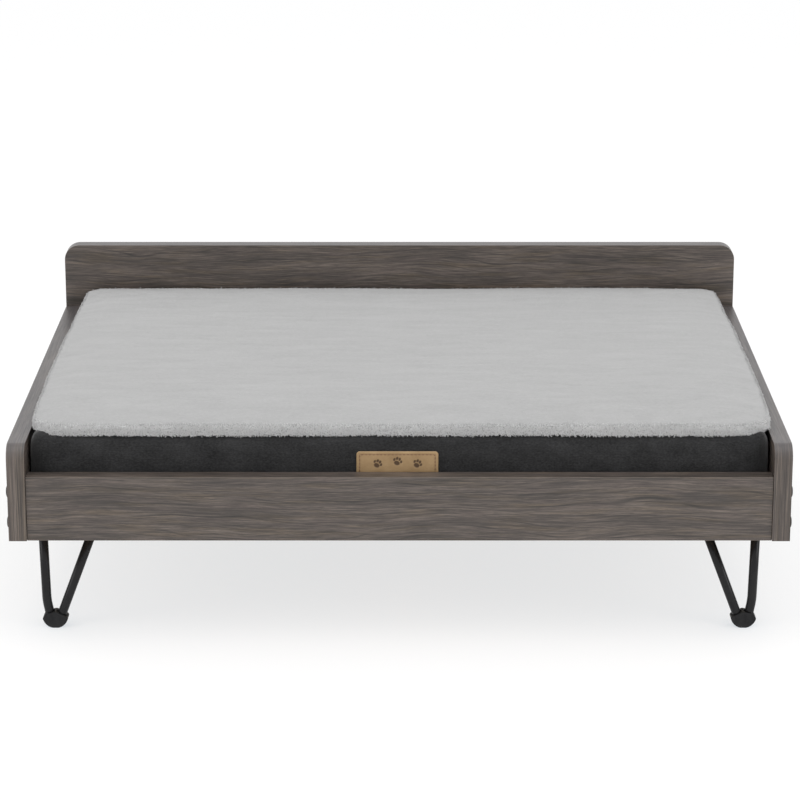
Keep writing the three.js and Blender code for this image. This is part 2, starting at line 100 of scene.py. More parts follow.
class Finish:
    """A material's node tree, with short calls that add nodes and join them."""

    def __init__(self, name, **sockets):
        self.material = bpy.data.materials.new(name)
        self.material.use_nodes = True
        self.tree = self.material.node_tree
        self.shader = self.tree.nodes["Principled BSDF"]
        self.set(**sockets)
        self.point = self.node("TexCoord").outputs["Object"]  # in the part's own frame

    def set(self, **sockets):
        """Puts a value or another node's output into the shader's sockets."""
        for name, value in sockets.items():
            self.put(self.shader.inputs[name.replace("_", " ")], value)

    def put(self, socket, value):
        if isinstance(value, bpy.types.NodeSocket):
            self.tree.links.new(value, socket)
        else:
            socket.default_value = value

    def node(self, kind, *values, **settings):
        """A node with its first inputs filled in order; None leaves one as it is."""
        made = self.tree.nodes.new("ShaderNode" + kind)
        for name, value in settings.items():
            setattr(made, name, value)
        for socket, value in zip(made.inputs, values):
            if value is not None:
                self.put(socket, value)
        return made

    def math(self, operation, a, b=0.0, c=0.0):
        return self.node("Math", a, b, c, operation=operation).outputs[0]

    def times(self, a, b):
        return self.math("MULTIPLY", a, b)

    def swing(self, value, gain, base):
        """base + gain x (value - 0.5): what a noise adds to a tone."""
        return self.math("ADD", self.math("MULTIPLY_ADD", value, gain, -gain / 2), base)

    def vector(self, operation, a, b):
        return self.node("VectorMath", a, b, operation=operation).outputs[0]

    def spread(self, scale, where=None):
        """A place, or without one the point on the surface, times one number or three."""
        by = scale if isinstance(scale, tuple) else shade(scale)
        return self.vector("MULTIPLY", self.point if where is None else where, by)

    def noise(self, scale, detail, roughness=0.5, distortion=0.0, where=None):
        made = self.node("TexNoise", self.spread(scale, where))
        made.inputs["Scale"].default_value = 1.0
        made.inputs["Detail"].default_value = detail
        made.inputs["Roughness"].default_value = roughness
        made.inputs["Distortion"].default_value = distortion
        return made.outputs[0]

    def cells(self, scale, feature="F1"):
        made = self.node("TexVoronoi", self.spread(scale), feature=feature)
        made.inputs["Scale"].default_value = 1.0
        return made.outputs["Distance"]

    def span(self, value, low, high, to_low=0.0, to_high=1.0):
        """Maps low..high to to_low..to_high, held at both ends."""
        return self.node("MapRange", value, low, high, to_low, to_high).outputs[0]

    def mix(self, share, a, b, blend="MIX", data_type="RGBA"):
        """Mixes two colours or, with data_type VECTOR, two vectors."""
        made = self.node("Mix", data_type=data_type)
        if data_type == "RGBA":
            made.blend_type = blend
        inputs = [s for s in made.inputs if s.enabled]
        for socket, value in zip(inputs, (share, a, b)):
            self.put(socket, value)
        return next(s for s in made.outputs if s.enabled)

    def ramp(self, value, stops):
        made = self.node("ValToRGB", value)
        elements = made.color_ramp.elements
        while len(elements) < len(stops):
            elements.new(0.5)
        for element, (position, color) in zip(elements, stops):
            element.position = position
            element.color = (*color, 1)
        return made.outputs[0]

    def done(self, relief, depth, **sockets):
        """Sets the last sockets and a bump of the given depth, and gives the material."""
        bump = self.node("Bump")
        bump.inputs["Distance"].default_value = depth
        self.put(bump.inputs["Height"], relief)
        self.set(Normal=bump.outputs[0], **sockets)
        return self.material

    def split(self, vector):
        return self.node("SeparateXYZ", vector).outputs

    def normal(self):
        return self.split(self.node("TexCoord").outputs["Normal"])

    def height(self):
        return self.split(self.point)[2]


def shade(level):
    """A grey, or the same number along all three axes."""
    return (level, level, level)


def color(red, green, blue):
    """An opaque colour."""
    return (red, green, blue, 1)


def grain_space(finish, length, thickness, height, edge, seed):
    """Where a point lies along and across the streaks, and its height with the grain's waves.

    On the board's faces the streaks run along it; on its edges they stack through its thickness.
    """
    streak_length, streak_width = 50 * MM, 1.45 * MM
    wave_height = 20 * MM
    flow_at = finish.node("CombineXYZ", length, height, 0.0).outputs[0]
    flow = finish.noise((5.0, 12, 1), 2, where=flow_at)
    bent = finish.swing(flow, wave_height, height)
    along_unit = finish.math("DIVIDE", length, streak_length)
    across_face = finish.math("DIVIDE", bent, streak_width)
    face = finish.node("CombineXYZ", along_unit, seed, across_face).outputs[0]
    through_edge = finish.math("DIVIDE", thickness, 0.8 * streak_width)
    up_edge = finish.math("DIVIDE", height, 2 * streak_length)
    band = finish.node("CombineXYZ", along_unit, through_edge, up_edge).outputs[0]
    return finish.mix(edge, face, band, data_type="VECTOR"), bent


def growth_rings(finish, grain, bent, edge, fine):
    """1 on the thin dark lines of the printed growth rings, which come and go along a board."""
    wave = finish.noise((0.22, 0.03, 0.03), 2, where=grain)
    ring_at = finish.math("MULTIPLY_ADD", wave, 5, finish.math("DIVIDE", bent, RING_GAP))
    rings = finish.span(finish.math("PINGPONG", ring_at, 0.5), 0.0, 0.075, 1, 0)
    patchy = finish.noise((0.55, 0.2, 0.2), 2, where=grain)
    rings = finish.times(rings, finish.span(patchy, 0.4, 0.6))
    rings = finish.times(rings, finish.span(fine, 0.3, 0.55, 0.35, 1))
    return finish.times(rings, finish.math("SUBTRACT", 1.0, edge))


def laminate(name, along, through, seed, pale=0.5):
    """Printed wood grain along a board, and edge banding whose streaks run with the edge.

    along and through are the axes of the board's length and of its thickness, and pale is how
    much its edges that face up or down are greyed, a painted reflection.
    """
    finish = Finish(name)
    shift = (seed, 0.7 * seed, 0.3 * seed)  # so that no two boards share a figure
    axes = finish.split(finish.vector("ADD", finish.point, shift))
    length, thickness = axes["XYZ".index(along)], axes["XYZ".index(through)]
    normal = finish.normal()
    facing = finish.math("ABSOLUTE", normal["XYZ".index(through)])
    edge = finish.math("LESS_THAN", facing, 0.7)
    grain, bent = grain_space(finish, length, thickness, axes[2], edge, seed)

    streaks = finish.noise(1, 5, 0.72, where=grain)
    fine = finish.noise((2.2, 2.3, 2.3), 3, 0.6, where=grain)
    broad = finish.noise((0.3, 0.12, 0.12), 3, where=grain)
    pores = finish.noise((5, 3.6, 3.6), 1, where=grain)
    warmth = finish.noise((0.7, 0.3, 0.3), 3, where=grain)
    rings = growth_rings(finish, grain, bent, edge, fine)
    tone = finish.math("MULTIPLY_ADD", streaks, 1.35, -0.175)
    tone = finish.swing(fine, 1.0, tone)
    tone = finish.swing(broad, 0.7, tone)
    tone = finish.math("MULTIPLY_ADD", rings, -0.42, tone)
    sharper = finish.times(edge, finish.math("SUBTRACT", streaks, 0.5))
    tone = finish.math("MULTIPLY_ADD", sharper, 0.8, tone)
    wood = finish.ramp(tone, [
        (0.08, (0.027, 0.024, 0.022)),
        (0.38, (0.060, 0.050, 0.044)),
        (0.55, (0.090, 0.073, 0.064)),
        (0.88, (0.168, 0.138, 0.116)),
    ])
    tan = finish.times(finish.span(warmth, 0.5, 0.66), 0.5)
    wood = finish.mix(tan, wood, color(1.06, 0.97, 0.76), "MULTIPLY")
    violet = finish.times(finish.span(warmth, 0.46, 0.34), 0.4)
    wood = finish.mix(violet, wood, color(0.92, 0.86, 0.90), "MULTIPLY")
    dark = finish.span(pores, 0.4, 0.3, 0, 0.6)
    wood = finish.mix(dark, wood, color(0.034, 0.029, 0.026))
    # painted reflection: edges that face up or down are mixed towards violet-grey, standing in for the
    # sheen of the white room at a grazing angle
    painted_sheen_mask = finish.times(edge, finish.math("ABSOLUTE", normal[2]))
    wood = finish.mix(finish.times(painted_sheen_mask, pale), wood, color(0.088, 0.084, 0.091))
    # painted highlight: the rounded arris between a face and an edge is mixed towards light tan,
    # standing in for the light it catches
    arris = finish.times(finish.span(facing, 0.25, 0.5), finish.span(facing, 0.97, 0.9))
    wood = finish.mix(finish.times(arris, 0.5), wood, color(0.21, 0.165, 0.125))
    relief = finish.math("MULTIPLY_ADD", streaks, 0.6, fine)
    relief = finish.math("MULTIPLY_ADD", rings, -0.5, relief)
    sheen = finish.span(streaks, 0.3, 0.7, 0.44, 0.34)
    return finish.done(relief, 0.07 * MM, Base_Color=wood, Roughness=sheen)


def plywood():
    """Pale face veneer above and below, and dark glue lines along the edges."""
    ply = 1.2 * MM
    finish = Finish("plywood", Roughness=0.7)
    face = finish.noise((9, 160, 9), 4, 0.6)
    veneer = finish.ramp(face, [
        (0.3, (0.38, 0.29, 0.19)),
        (0.5, (0.47, 0.38, 0.27)),
        (0.7, (0.54, 0.45, 0.33)),
    ])
    plies = finish.math("PINGPONG", finish.height(), ply)
    glue = finish.span(plies, 0.25 * MM, 0.1 * MM, 0, 0.75)
    side = finish.math("LESS_THAN", finish.math("ABSOLUTE", finish.normal()[2]), 0.5)
    wood = finish.mix(finish.times(glue, side), veneer, color(0.16, 0.09, 0.045))
    return finish.done(face, 0.12 * MM, Base_Color=wood)


def pine(name, along):
    """Planed softwood with its rings along one axis."""
    finish = Finish(name, Roughness=0.72)
    stretch = tuple(7 if axis == along else 130 for axis in "XYZ")
    rings = finish.noise(stretch, 3, 0.55, distortion=0.4)
    wood = finish.ramp(rings, [
        (0.36, (0.62, 0.45, 0.26)),
        (0.52, (0.56, 0.38, 0.2)),
        (0.6, (0.38, 0.22, 0.1)),
        (0.68, (0.6, 0.43, 0.25)),
    ])
    knots = finish.cells(11)
    wood = finish.mix(finish.span(knots, 0.1, 0.06, 0, 0.7), wood, color(0.2, 0.1, 0.04))
    return finish.done(rings, 0.15 * MM, Base_Color=wood)


def powder_coat():
    """Black paint with a faint orange peel and a little dust."""
    finish = Finish("black_powder_coat", Specular_IOR_Level=0.24)
    peel = finish.noise(900, 2)
    dust = finish.noise(60, 4)
    paint = finish.ramp(dust, [(0.3, (0.007, 0.007, 0.008)), (0.7, (0.013, 0.013, 0.014))])
    gloss = finish.span(dust, 0.3, 0.7, 0.22, 0.34)
    return finish.done(peel, 0.03 * MM, Base_Color=paint, Roughness=gloss)


def moulded_rubber():
    """Matt black rubber, scuffed, and greyer where it meets the floor."""
    finish = Finish("black_rubber", Specular_IOR_Level=0.25)
    grain = finish.noise(1400, 3)
    scuff = finish.noise((220, 220, 90), 5, 0.7)
    low = finish.span(finish.height(), 5 * MM, 0.0, 0, 0.6)
    body = finish.ramp(scuff, [(0.35, (0.006, 0.006, 0.007)), (0.65, (0.017, 0.017, 0.018))])
    body = finish.mix(low, body, color(0.022, 0.022, 0.022))
    gloss = finish.span(scuff, 0.3, 0.7, 0.5, 0.7)
    return finish.done(grain, 0.05 * MM, Base_Color=body, Roughness=gloss)


def metal(name, dark, light, roughness, metallic=1.0, specular=0.5):
    """Plated or painted steel with fine turning marks and a cloudy surface."""
    finish = Finish(name, Metallic=metallic, Specular_IOR_Level=specular)
    cloud = finish.noise(350, 4)
    marks = finish.noise((2600, 2600, 300), 2)
    plate = finish.ramp(cloud, [(0.3, dark), (0.7, light)])
    gloss = finish.span(cloud, 0.3, 0.7, roughness - 0.08, roughness + 0.1)
    return finish.done(marks, 0.02 * MM, Base_Color=plate, Roughness=gloss)


def woven(name, dark, light, pitch, fuzz=0.5, sheen=0.2):
    """A plain weave whose threads follow whichever two axes lie in the surface."""
    finish = Finish(name, Roughness=0.95, Specular_IOR_Level=0.12, Sheen_Weight=sheen)
    turns = finish.spread(math.pi / pitch)
    wobbly = finish.vector("ADD", turns, finish.noise(0.25 / pitch, 3))
    x, y, z = [finish.math("SINE", axis) for axis in finish.split(wobbly)]
    threads = finish.math("ADD", finish.times(x, z), finish.times(y, z))
    threads = finish.math("ADD", threads, finish.times(x, y))
    lint = finish.noise((420, 420, 900), 4, 0.7)
    blotch = finish.noise((34, 34, 60), 3)
    tone = finish.math("MULTIPLY_ADD", threads, 0.04, 0.5)
    tone = finish.swing(lint, fuzz, tone)
    tone = finish.swing(blotch, 0.5, tone)
    cloth = finish.ramp(tone, [(0.2, dark), (0.8, light)])
    relief = finish.math("MULTIPLY_ADD", threads, 0.12, lint)
    return finish.done(relief, 0.25 * MM, Base_Color=cloth)


def plush(name, light, upper=1.0):
    """Short brushed pile: pale, matt, and streaked from side to side where it was stroked.

    light is the pile's middle tone, and upper what that is multiplied by along the pad's top:
    painted shade where the pile faces up into the light.
    """
    finish = Finish(name, Roughness=1, Specular_IOR_Level=0.05, Sheen_Weight=0.12)
    finish.set(Sheen_Roughness=0.6)
    strokes = finish.noise((16, 70, 70), 4, 0.6, distortion=0.6)
    clumps = finish.noise((240, 420, 420), 3, 0.65)
    fibres = finish.noise((900, 1500, 1500), 2)
    tone = finish.swing(clumps, 0.5, finish.swing(strokes, 0.5, 0.5))
    fur = finish.ramp(tone, [
        (0.2, shade(0.85 * light)),
        (0.5, shade(light)),
        (0.8, shade(1.13 * light)),
    ])
    # painted shade: from half height up the pile is multiplied by upper, darker where it faces up into
    # the light
    low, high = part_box("plush_top")
    rise = finish.span(finish.height(), (low.z + high.z) / 2, high.z)
    fur = finish.mix(rise, fur, color(*shade(upper)), "MULTIPLY")
    pile = finish.math("MULTIPLY_ADD", fibres, 0.6, clumps)
    return finish.done(pile, 0.7 * MM, Base_Color=fur)


def leather():
    """Smooth tan leather, darker where it is pressed and lighter along its cut edge."""
    finish = Finish("tan_leather", Specular_IOR_Level=0.4)
    grain = finish.cells(900, feature="SMOOTH_F1")
    cloud = finish.noise(70, 4, 0.6)
    hide = finish.ramp(cloud, [
        (0.3, (0.27, 0.172, 0.080)),
        (0.55, (0.33, 0.218, 0.108)),
        (0.75, (0.385, 0.262, 0.136)),
    ])
    pressed = finish.node("Attribute", attribute_name="pressed").outputs["Fac"]
    rim = finish.node("Attribute", attribute_name="rim").outputs["Fac"]
    hide = finish.mix(pressed, hide, color(0.062, 0.033, 0.016))
    hide = finish.mix(rim, hide, color(0.36, 0.25, 0.135))
    gloss = finish.span(cloud, 0.3, 0.7, 0.5, 0.65)
    return finish.done(grain, 0.08 * MM, Base_Color=hide, Roughness=gloss)


def thread(name, dark, light):
    """Twisted yarn."""
    finish = Finish(name, Roughness=0.7, Sheen_Weight=0.2)
    twist = finish.noise(1500, 2)
    yarn = finish.ramp(twist, [(0.3, dark), (0.7, light)])
    return finish.done(twist, 0.1 * MM, Base_Color=yarn)


# ---- meshes


def new_object(name, data):
    """An object in the scene that holds a mesh or a camera."""
    made = bpy.data.objects.new(name, data)
    bpy.context.scene.collection.objects.link(made)
    return made


def mesh_piece(name, vertices, faces, material=None):
    """A smooth-shaded object of its own from vertices and faces."""
    mesh = bpy.data.meshes.new(name)
    mesh.from_pydata(vertices, [], faces)
    mesh.update()
    mesh.polygons.foreach_set("use_smooth", [True] * len(mesh.polygons))
    if material:
        mesh.materials.append(material)
    return new_object(name, mesh)


def repaint(node, material):
    """Gives a CAD node one material on all its slots."""
    node.data.materials.clear()
    node.data.materials.append(material)


def soften(node, width, segments=3):
    """Rounds the arrises of a CAD node with modifiers; its own mesh stays as it is."""
    weld = node.modifiers.new("weld", "WELD")
    weld.merge_threshold = 0.01 * MM
    arris = node.modifiers.new("arris", "BEVEL")
    arris.width = width
    arris.segments = segments
    arris.limit_method = "ANGLE"
    arris.angle_limit = math.radians(40)
    arris.harden_normals = False
    node.modifiers.new("flat_faces", "WEIGHTED_NORMAL").keep_sharp = False


def dress(name, material, rounding, segments=3):
    """Gives a CAD node its material and rounds its arrises."""
    repaint(NODES[name], material)
    soften(NODES[name], rounding, segments)


def rings_to_mesh(rings):
    """Joins rings of points into a tube; each end closes on its own middle."""
    sides = len(rings[0])
    vertices = [point for ring in rings for point in ring]
    faces = []
    for row in range(len(rings) - 1):
        for side in range(sides):
            after = (side + 1) % sides
            low, high = row * sides, (row + 1) * sides
            faces.append((low + side, low + after, high + after, high + side))
    for row, turn in ((0, 1), (len(rings) - 1, -1)):
        middle = sum((Vector(p) for p in rings[row]), Vector()) / sides
        vertices.append(tuple(middle))
        for side in range(sides):
            after = (side + 1) % sides
            edge = (row * sides + after, row * sides + side)
            faces.append((len(vertices) - 1, *edge[::turn]))
    return vertices, faces


def revolve(profile, sides, shape=None):
    """Turns (radius, height) points round +Z. shape(row, angle) scales a row's radius."""
    rings = []
    for row, (radius, height) in enumerate(profile):
        ring = []
        for side in range(sides):
            angle = 2 * math.pi * side / sides
            reach = radius * (shape(row, angle) if shape else 1)
            ring.append((reach * math.cos(angle), reach * math.sin(angle), height))
        rings.append(ring)
    return rings_to_mesh(rings)


def circle(middle, across, up, radius, sides):
    """A ring of points round middle, in the plane of across and up."""
    ring = []
    for side in range(sides):
        angle = 2 * math.pi * side / sides
        reach = radius * (math.cos(angle) * across + math.sin(angle) * up)
        ring.append(tuple(middle + reach))
    return ring


def clamp(value):
    """The value, held between 0 and 1."""
    return min(1.0, max(0.0, value))


def moved(vertices, matrix):
    """The vertices after a turn and a shift."""
    return [tuple(matrix @ Vector(v)) for v in vertices]


def joined(parts):
    """Several (vertices, faces) as one."""
    vertices, faces = [], []
    for more_vertices, more_faces in parts:
        start = len(vertices)
        vertices += more_vertices
        faces += [tuple(start + i for i in face) for face in more_faces]
    return vertices, faces


def facing_matrix(position, outward):
    """Puts +Z along outward at the position."""
    turn = Vector(outward).to_track_quat("Z", "Y").to_matrix().to_4x4()
    return Matrix.Translation(position) @ turn


def finish_piece(piece, body, slot, *replaced):
    """Puts a piece on the body it rides on and hides the CAD nodes it stands for; slot is not used."""
    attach(piece, body)
    if replaced:
        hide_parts(*replaced)


def outward_faces(piece):
    """Turns every face outwards."""
    work = bmesh.new()
    work.from_mesh(piece.data)
    bmesh.ops.recalc_face_normals(work, faces=work.faces)
    work.to_mesh(piece.data)
    work.free()


def solid(name, shape, material, body, slot, *replaced):
    """A finished piece from the vertices and faces of a closed shape."""
    piece = mesh_piece(name, *shape, material)
    outward_faces(piece)
    finish_piece(piece, body, slot, *replaced)
    return piece


def applied(piece):
    """Bakes an object's modifiers into its mesh."""
    graph = bpy.context.evaluated_depsgraph_get()
    shaped = bpy.data.meshes.new_from_object(piece.evaluated_get(graph))
    piece.modifiers.clear()
    old = piece.data
    piece.data = shaped
    bpy.data.meshes.remove(old)
    piece.data.polygons.foreach_set("use_smooth", [True] * len(piece.data.polygons))


# ---- boards and base


def boards():
    """The four boards are the CAD's own, with softened arrises and a printed grain."""
    finishes = {
        "headboard": laminate("laminate_headboard", "X", "Y", 3.1),
        # no painted sheen here: the front board's top is left dark, where the charcoal cover is
        # reflected
        "front_board": laminate("laminate_front", "X", "Y", 7.4, pale=0.0),
        "side_panel_left": laminate("laminate_left", "Y", "X", 1.7),
        "side_panel_right": laminate("laminate_right", "Y", "X", 5.2),
    }
    for name, material in finishes.items():
        dress(name, material, 0.3 * MM)


def base():
    """The panel, battens and rail under the mattress, also the CAD's own."""
    dress("base_panel", plywood(), 0.4 * MM, 2)
    lengthways, crossways = pine("pine_x", "X"), pine("pine_y", "Y")
    for name in ("batten_front", "batten_rear"):
        dress(name, lengthways, 0.8 * MM)
    for name in ("batten_left", "batten_right", "centre_rail"):
        dress(name, crossways, 0.8 * MM)


# ---- fasteners


def hexagon(angle):
    """How far a hexagon's side lies from its middle, as a share of its corner radius."""
    return math.cos(math.pi / 6) / math.cos((angle % (math.pi / 3)) - math.pi / 6)


def cross(angle):
    """A cross recess: long arms and short hollows between them."""
    return 0.55 + 0.45 * abs(math.cos(2 * angle)) ** 3


def thread_ridges(radius, start, end, pitch, depth):
    """A screw thread as plain ridges, from start down to end."""
    points = []
    height = start
    while height - pitch > end:
        points += [(radius - depth, height), (radius, height - pitch / 2)]
        height -= pitch
    return points


def dome(inner, outer, low, high, steps):
    """The quarter-round top of a screw's head, from its recess out to its rim."""
    points = []
    for step in range(1, steps + 1):
        turn = step / steps * math.pi / 2
        radius = inner + (outer - inner) * math.sin(turn)
        points.append((radius, low + (high - low) * math.cos(turn)))
    return points


def screw(name, node, shape, seat, outward, material, slot):
    """Puts a turned shape at its seat, as the piece that replaces the node."""
    vertices, faces = shape
    turned = moved(vertices, facing_matrix(seat, outward)), faces
    solid(name, turned, material, "frame", slot, node)


def frame_bolts(material):
    """Button-head bolts: heads proud of the sides, and sunk flush in the headboard's back."""
    head, height, socket, rim = 6.5 * MM, 2.2 * MM, 2.2 * MM, 0.35 * MM
    shank, length, thread_depth = 3 * MM, 56 * MM, 0.45 * MM
    profile = [(socket, 0.7 * MM), (socket, height - 0.15 * MM), (socket + 0.25 * MM, height)]
    socket_rows = 2
    profile += dome(socket + 0.3 * MM, head, rim, height, 9)
    profile += [(head - 0.1 * MM, 0.05 * MM), (shank, 0.05 * MM), (shank, -length / 2)]
    profile += thread_ridges(shank, -length / 2, -length + 2 * MM, 1 * MM, thread_depth)
    profile += [(shank - thread_depth, -length + 1 * MM), (shank - 1 * MM, -length)]
    shape = revolve(profile, 36, lambda row, angle: hexagon(angle) if row < socket_rows else 1)
    for corner, side in CORNERS:
        for level in ("upper", "lower"):
            node = f"bolt_{corner}_{level}"
            low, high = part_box(node)
            seat = (low + high) / 2
            outward = (0, 1, 0)
            if corner.startswith("front"):
                outward = (side, 0, 0)
                seat.x = side * (max(-low.x, high.x) - height)
            else:
                seat.y = high.y - height
            screw("frame_" + node, node, shape, seat, outward, material, "bronzed_steel")


def leg_screws(material):
    """Pan-head screws up through each leg plate."""
    head, height, rim = 4 * MM, 2 * MM, 0.3 * MM
    shank, length, thread_depth, point = 2 * MM, 12 * MM, 0.5 * MM, 0.15 * MM
    profile = [(0.5 * MM, height - 1.2 * MM), (1.5 * MM, height - 0.4 * MM), (2.1 * MM, height)]
    recess_rows = 3
    profile += dome(2.3 * MM, head, rim, height, 6)
    profile += [(head - 0.2 * MM, 0.0), (shank, 0.0)]
    profile += thread_ridges(shank, -1 * MM, -length + 3 * MM, 1.4 * MM, thread_depth)
    profile += [(shank - thread_depth, -length + 3 * MM), (point, -length)]
    shape = revolve(profile, 24, lambda row, angle: cross(angle) if row < recess_rows else 1)
    for corner, _ in CORNERS:
        for spot in ("outer", "middle", "inner"):
            node = f"leg_screw_{corner}_{spot}"
            low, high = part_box(node)
            seat = (low + high) / 2
            seat.z = low.z + height
            screw("pan_" + node, node, shape, seat, (0, 0, -1), material, "zinc")


def barrel_nuts(material):
    """The CAD's own nuts, two to a corner."""
    for corner, _ in CORNERS:
        for level in ("upper", "lower"):
            dress(f"barrel_nut_{corner}_{level}", material, 0.4 * MM, 2)


# ---- legs


def hairpin_path(top, fine=28):
    """The rod's centre line: X from the foot towards the bed's middle, Z up."""

    def on_bend(turn):
        """A point of the bend in the foot cap."""
        return Vector((BEND_RADIUS * math.cos(turn), 0, BEND_HEIGHT + BEND_RADIUS * math.sin(turn)))

    def rise(point, lean, height):
        """The point a height further up a line that leans from the upright."""
        return Vector((point.x + height * math.tan(lean), 0, point.z + height))

    outer_foot = on_bend(math.pi - ANKLE_LEAN)
    knee = rise(outer_foot, -ANKLE_LEAN, ANKLE_LENGTH)
    inner_foot = on_bend(-INNER_LEAN)
    above, below = rise(knee, -OUTER_LEAN, KNEE_LENGTH), rise(knee, -ANKLE_LEAN, -KNEE_LENGTH)
    points = [rise(knee, -OUTER_LEAN, top - knee.z)]
    steps = 8
    for step in range(steps + 1):
        share = step / steps
        points.append(above.lerp(knee, share).lerp(knee.lerp(below, share), share))
    for step in range(fine + 1):
        turn = math.pi - ANKLE_LEAN + step / fine * (math.pi - INNER_LEAN + ANKLE_LEAN)
        points.append(on_bend(turn))
    points.append(rise(inner_foot, INNER_LEAN, top - inner_foot.z))
    return points


def tube(points, radius, sides=28):
    """A round rod along points that lie in the XZ plane."""
    rings = []
    for index, point in enumerate(points):
        before, after = points[max(index - 1, 0)], points[min(index + 1, len(points) - 1)]
        tangent = (after - before).normalized()
        across = tangent.cross(Vector((0, 1, 0)))
        rings.append(circle(point, across, Vector((0, 1, 0)), radius, sides))
    return rings_to_mesh(rings)


def weld_bead(middle, seed):
    """The rippled bead round the end of a rod, under its plate."""
    profile = [
        (ROD_RADIUS - 0.4 * MM, 0.0),
        (ROD_RADIUS + 2.2 * MM, 0.0),
        (ROD_RADIUS + 2.0 * MM, -0.6 * MM),
        (ROD_RADIUS + 1.1 * MM, -1.5 * MM),
        (ROD_RADIUS + 0.3 * MM, -2.4 * MM),
        (ROD_RADIUS - 0.4 * MM, -2.9 * MM),
    ]

    def ripple(row, angle):
        """Makes the rows between the profile's two ends wavy."""
        return 1 + (0.035 * math.sin(13 * angle + seed) if 0 < row < 5 else 0)

    vertices, faces = revolve(profile, 52, ripple)
    return moved(vertices, Matrix.Translation(middle)), faces


def cap_outline():
    """The half-moon seen from the front, with a roof square to each of the two rods."""
    middle = math.sqrt(CAP_RADIUS**2 - CAP_FLAT**2)
    start = math.acos(CAP_FLAT / CAP_RADIUS)
    end = math.asin((middle - CAP_SHOULDER) / CAP_RADIUS)
    steps = 12
    flank = []
    for step in range(steps + 1):
        turn = -start + (start - end) * step / steps
        flank.append((CAP_RADIUS * math.cos(turn), middle + CAP_RADIUS * math.sin(turn)))
    inner, outer = CAP_RADIUS - 1.4 * MM, CAP_RADIUS - 2.8 * MM
    roof = [
        (inner, CAP_RIDGE - 0.6 * MM - inner * math.tan(INNER_LEAN)),
        (1 * MM, CAP_RIDGE),
        (-0.5 * MM, CAP_RIDGE),
        (-outer, CAP_RIDGE - outer * math.tan(ANKLE_LEAN)),
    ]
    return flank + roof + [(-x, z) for x, z in reversed(flank)]


def foot_cap_mesh():
    """One moulded cap, with round arrises and a snug channel for the bent rod."""
    outline = cap_outline()
    half = CAP_THICKNESS / 2
    rings = [[(x, y, z) for x, z in outline] for y in (-half, half)]
    body = mesh_piece("foot_cap_shape", *rings_to_mesh(rings))
    outward_faces(body)
    channel = mesh_piece("foot_cap_channel", *tube(hairpin_path(40 * MM), ROD_RADIUS + CAP_PLAY))
    outward_faces(channel)
    cut = body.modifiers.new("channel", "BOOLEAN")
    cut.operation = "DIFFERENCE"
    cut.object = channel
    cut.solver = "MANIFOLD"
    skin = body.modifiers.new("skin", "REMESH")
    skin.mode = "VOXEL"
    skin.voxel_size = 0.33 * MM
    ease = body.modifiers.new("ease", "SMOOTH")
    ease.factor = 0.6
    ease.iterations = 5
    applied(body)
    bpy.data.objects.remove(channel)
    return body


def legs():
    """Hairpin rods with their welds, the plates over them and the half-moon foot caps."""
    steel = powder_coat()
    rubber = moulded_rubber()
    cap = foot_cap_mesh()
    for number, (corner, side) in enumerate(CORNERS):
        low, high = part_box("foot_cap_" + corner)
        foot = Matrix.Translation(((low.x + high.x) / 2, (low.y + high.y) / 2, 0))
        if side > 0:
            foot = foot @ Matrix.Rotation(math.pi, 4, "Z")
        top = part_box("leg_rod_" + corner)[1].z
        path = hairpin_path(top)
        beads = [weld_bead(path[end], number + end) for end in (0, -1)]
        vertices, faces = joined([tube(path, ROD_RADIUS), *beads])
        rod = moved(vertices, foot), faces
        solid("hairpin_" + corner, rod, steel, "frame", "black_steel", "leg_rod_" + corner)
        dress("leg_plate_" + corner, steel, 0.5 * MM)
        shoe = new_object("foot_" + corner, cap.data.copy())
        shoe.data.transform(foot)
        repaint(shoe, rubber)
        finish_piece(shoe, "frame", "black_rubber", "foot_cap_" + corner)
    bpy.data.objects.remove(cap)


# ---- mattress


def rounded_outline(half_x, low_y, high_y, radii, step, corner_steps):
    """Points round a rectangle with round corners, anticlockwise from the front left.

    radii are those of the front corners and of the rear ones.
    """
    front, rear = radii
    corners = [
        (-half_x + front, low_y + front, math.pi, front),
        (half_x - front, low_y + front, 1.5 * math.pi, front),
        (half_x - rear, high_y - rear, 0.0, rear),
        (-half_x + rear, high_y - rear, 0.5 * math.pi, rear),
    ]
    points = []
    for index, (x, y, start, radius) in enumerate(corners):
        for turn in range(corner_steps + 1):
            angle = start + turn / corner_steps * math.pi / 2
            points.append((x + radius * math.cos(angle), y + radius * math.sin(angle)))
        next_x, next_y, next_start, reach = corners[(index + 1) % 4]
        goal = (next_x + reach * math.cos(next_start), next_y + reach * math.sin(next_start))
        here = points[-1]
        pieces = max(1, round(math.dist(here, goal) / step))
        for piece in range(1, pieces):
            share = piece / pieces
            points.append(tuple(a + share * (b - a) for a, b in zip(here, goal)))
    return points


def slab(name, half_x, low_y, high_y, radii, bottom, top, edge):
    """A closed slab with round corners and a small round along its upper and lower edges."""
    rings = []
    for inset, height in (
        (edge, bottom),
        (edge * 0.3, bottom + edge * 0.3),
        (0, bottom + edge),
        (0, top - edge),
        (edge * 0.3, top - edge * 0.3),
        (edge, top),
    ):
        inner = [max(radius - inset, 1 * MM) for radius in radii]
        outline = rounded_outline(
            half_x - inset, low_y + inset, high_y - inset, inner, 20 * MM, 8
        )
        rings.append([(x, y, height) for x, y in outline])
    piece = mesh_piece(name, *rings_to_mesh(rings))
    outward_faces(piece)
    return piece


